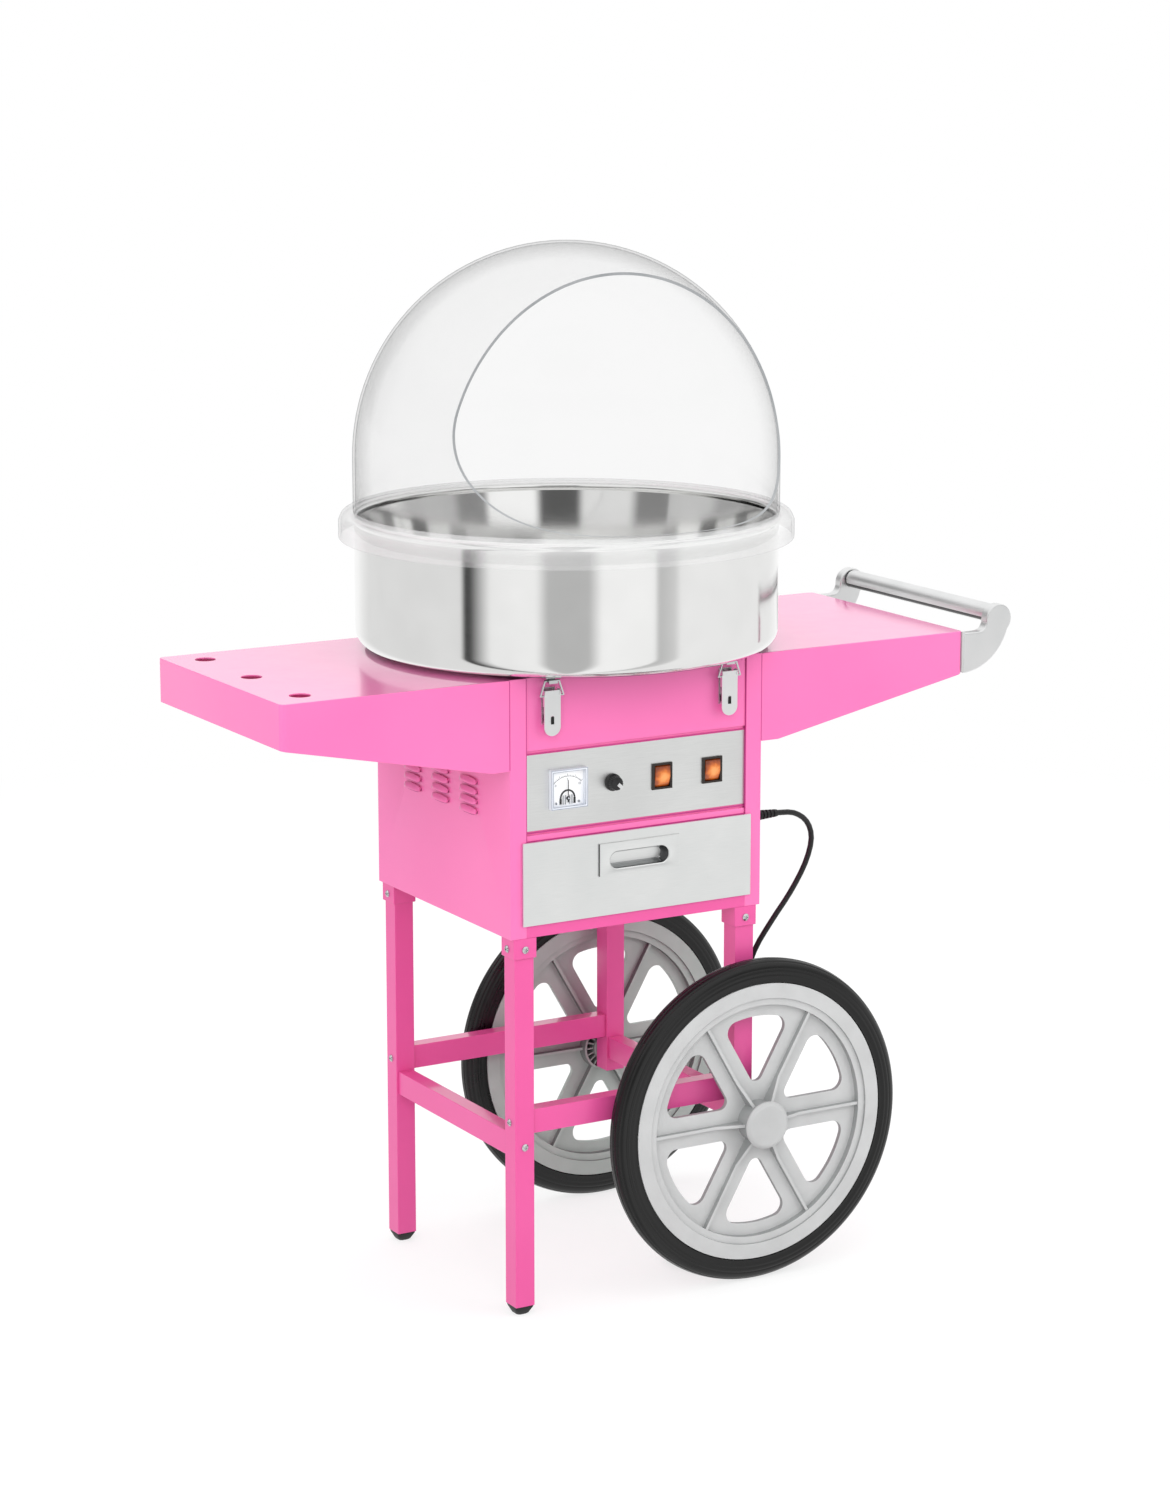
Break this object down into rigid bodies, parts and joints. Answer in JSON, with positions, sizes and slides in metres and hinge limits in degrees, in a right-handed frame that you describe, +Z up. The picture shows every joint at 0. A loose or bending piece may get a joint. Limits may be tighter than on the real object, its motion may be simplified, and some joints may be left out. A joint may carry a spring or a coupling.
{
  "type": "cotton candy cart",
  "caption": "Cotton candy cart: spinning head in a steel bowl under a clear dome, sheet metal cabinet with drawer, shelves, push handle and large spoked wheels.",
  "frame": {"origin": "on the ground, under the middle of the cart's bounding box", "axes": "+X along the shelves towards the push handle, -Y out of the control panel's side, +Z up"},
  "size_m": [1.0195, 0.556, 1.28],
  "materials": {
    "pink_paint": "gloss",
    "satin_steel": "satin",
    "bright_steel": "polished",
    "chrome_plate": "polished",
    "zinc_steel": "satin",
    "head_aluminium": "satin",
    "motor_metal": "satin",
    "white_plastic": "gloss",
    "clear_plastic": "clear",
    "black_plastic": "satin",
    "orange_plastic": "gloss",
    "grey_plastic": "satin",
    "black_tyre": "matt",
    "black_rubber": "matt"
  },
  "bodies": {
    "cart": {"left_side_panel": "pink_paint", "right_side_panel": "pink_paint", "rear_panel": "pink_paint", "base_panel": "pink_paint", "deck_panel": "pink_paint", "front_panel": "pink_paint", "control_plate": "satin_steel", "left_shelf": "pink_paint", "right_shelf": "pink_paint", "handle_arms": "chrome_plate", "handle_bar": "chrome_plate", "meter_case": "white_plastic", "meter_window": "clear_plastic", "regulator_body": "black_plastic", "switch_housings": "black_plastic", "latch_bases": "zinc_steel", "bowl_catches": "zinc_steel", "bowl": "bright_steel", "bowl_pads": "black_rubber", "motor": "motor_metal", "drawer_runners": "zinc_steel", "front_left_leg": "pink_paint", "rear_left_leg": "pink_paint", "front_right_leg": "pink_paint", "rear_right_leg": "pink_paint", "leg_sockets": "pink_paint", "rubber_feet": "black_rubber", "front_rail": "pink_paint", "rear_rail": "pink_paint", "left_rail": "pink_paint", "right_rail": "pink_paint", "fasteners": "zinc_steel", "axle": "zinc_steel", "strain_relief": "black_rubber", "mains_cord": "black_rubber", "cord_coil": "black_rubber", "mains_plug": "black_plastic"},
    "spinning_head": {"spinner_shaft": "zinc_steel", "spinner_base": "head_aluminium", "spinner_band": "satin_steel", "spinner_cap": "head_aluminium"},
    "dome_cover": {"dome": "clear_plastic", "dome_ring": "clear_plastic"},
    "drawer": {"drawer_tray": "satin_steel", "drawer_front": "satin_steel", "drawer_pull": "satin_steel"},
    "front_wheel_set": {"front_wheel": "grey_plastic", "front_tyre": "black_tyre", "front_hub_cap": "grey_plastic"},
    "rear_wheel_set": {"rear_wheel": "grey_plastic", "rear_tyre": "black_tyre", "rear_hub_cap": "grey_plastic"},
    "knob": {"control_knob": "black_plastic"},
    "needle": {"meter_needle": "black_plastic"},
    "heat_switch": {"heat_rocker": "orange_plastic"},
    "motor_switch": {"motor_rocker": "orange_plastic"},
    "left_lever": {"left_latch_lever": "zinc_steel"},
    "left_bail": {"left_latch_bail": "zinc_steel"},
    "right_lever": {"right_latch_lever": "zinc_steel"},
    "right_bail": {"right_latch_bail": "zinc_steel"}
  },
  "joints": [
    {"name": "head_spin", "type": "hinge", "parent": "cart", "child": "spinning_head", "pos_m": [-0.03975, 0, 0.8], "axis": [0, 0, 1], "continuous": true},
    {"name": "dome_lift", "type": "slide", "parent": "cart", "child": "dome_cover", "axis": [0, 0, 1], "range_m": [0, 0.3]},
    {"name": "drawer_slide", "type": "slide", "parent": "cart", "child": "drawer", "axis": [0, -1, 0], "range_m": [0, 0.23]},
    {"name": "front_wheel_roll", "type": "hinge", "parent": "cart", "child": "front_wheel_set", "pos_m": [0.11825, -0.19, 0.205], "axis": [0, 1, 0], "continuous": true},
    {"name": "rear_wheel_roll", "type": "hinge", "parent": "cart", "child": "rear_wheel_set", "pos_m": [0.11825, 0.19, 0.205], "axis": [0, 1, 0], "continuous": true},
    {"name": "knob_turn", "type": "hinge", "parent": "cart", "child": "knob", "pos_m": [-0.07375, -0.18, 0.6495], "axis": [0, 1, 0], "range_deg": [0, 270]},
    {"name": "needle_swing", "type": "hinge", "parent": "cart", "child": "needle", "pos_m": [-0.13625, -0.1717, 0.6375], "axis": [0, 1, 0], "range_deg": [-45, 45], "stiffness_Nm_per_rad": 0.0005},
    {"name": "heat_switch_rock", "type": "hinge", "parent": "cart", "child": "heat_switch", "pos_m": [-0.00475, -0.1652, 0.6495], "axis": [1, 0, 0], "range_deg": [-18, 0]},
    {"name": "motor_switch_rock", "type": "hinge", "parent": "cart", "child": "motor_switch", "pos_m": [0.06625, -0.1652, 0.6495], "axis": [1, 0, 0], "range_deg": [-18, 0]},
    {"name": "left_lever_swing", "type": "hinge", "parent": "cart", "child": "left_lever", "pos_m": [-0.16275, -0.1769, 0.768], "axis": [-1, 0, 0], "range_deg": [0, 110]},
    {"name": "left_bail_swing", "type": "hinge", "parent": "left_lever", "child": "left_bail", "pos_m": [-0.16275, -0.17938, 0.76553], "axis": [-1, 0, 0], "range_deg": [-110, 0]},
    {"name": "right_lever_swing", "type": "hinge", "parent": "cart", "child": "right_lever", "pos_m": [0.08325, -0.1769, 0.768], "axis": [-1, 0, 0], "range_deg": [0, 110]},
    {"name": "right_bail_swing", "type": "hinge", "parent": "right_lever", "child": "right_bail", "pos_m": [0.08325, -0.17938, 0.76553], "axis": [-1, 0, 0], "range_deg": [-110, 0]}
  ],
  "couplings": [
    {"joint": "left_bail_swing", "follows": "left_lever_swing", "ratio": -1},
    {"joint": "right_bail_swing", "follows": "right_lever_swing", "ratio": -1}
  ]
}
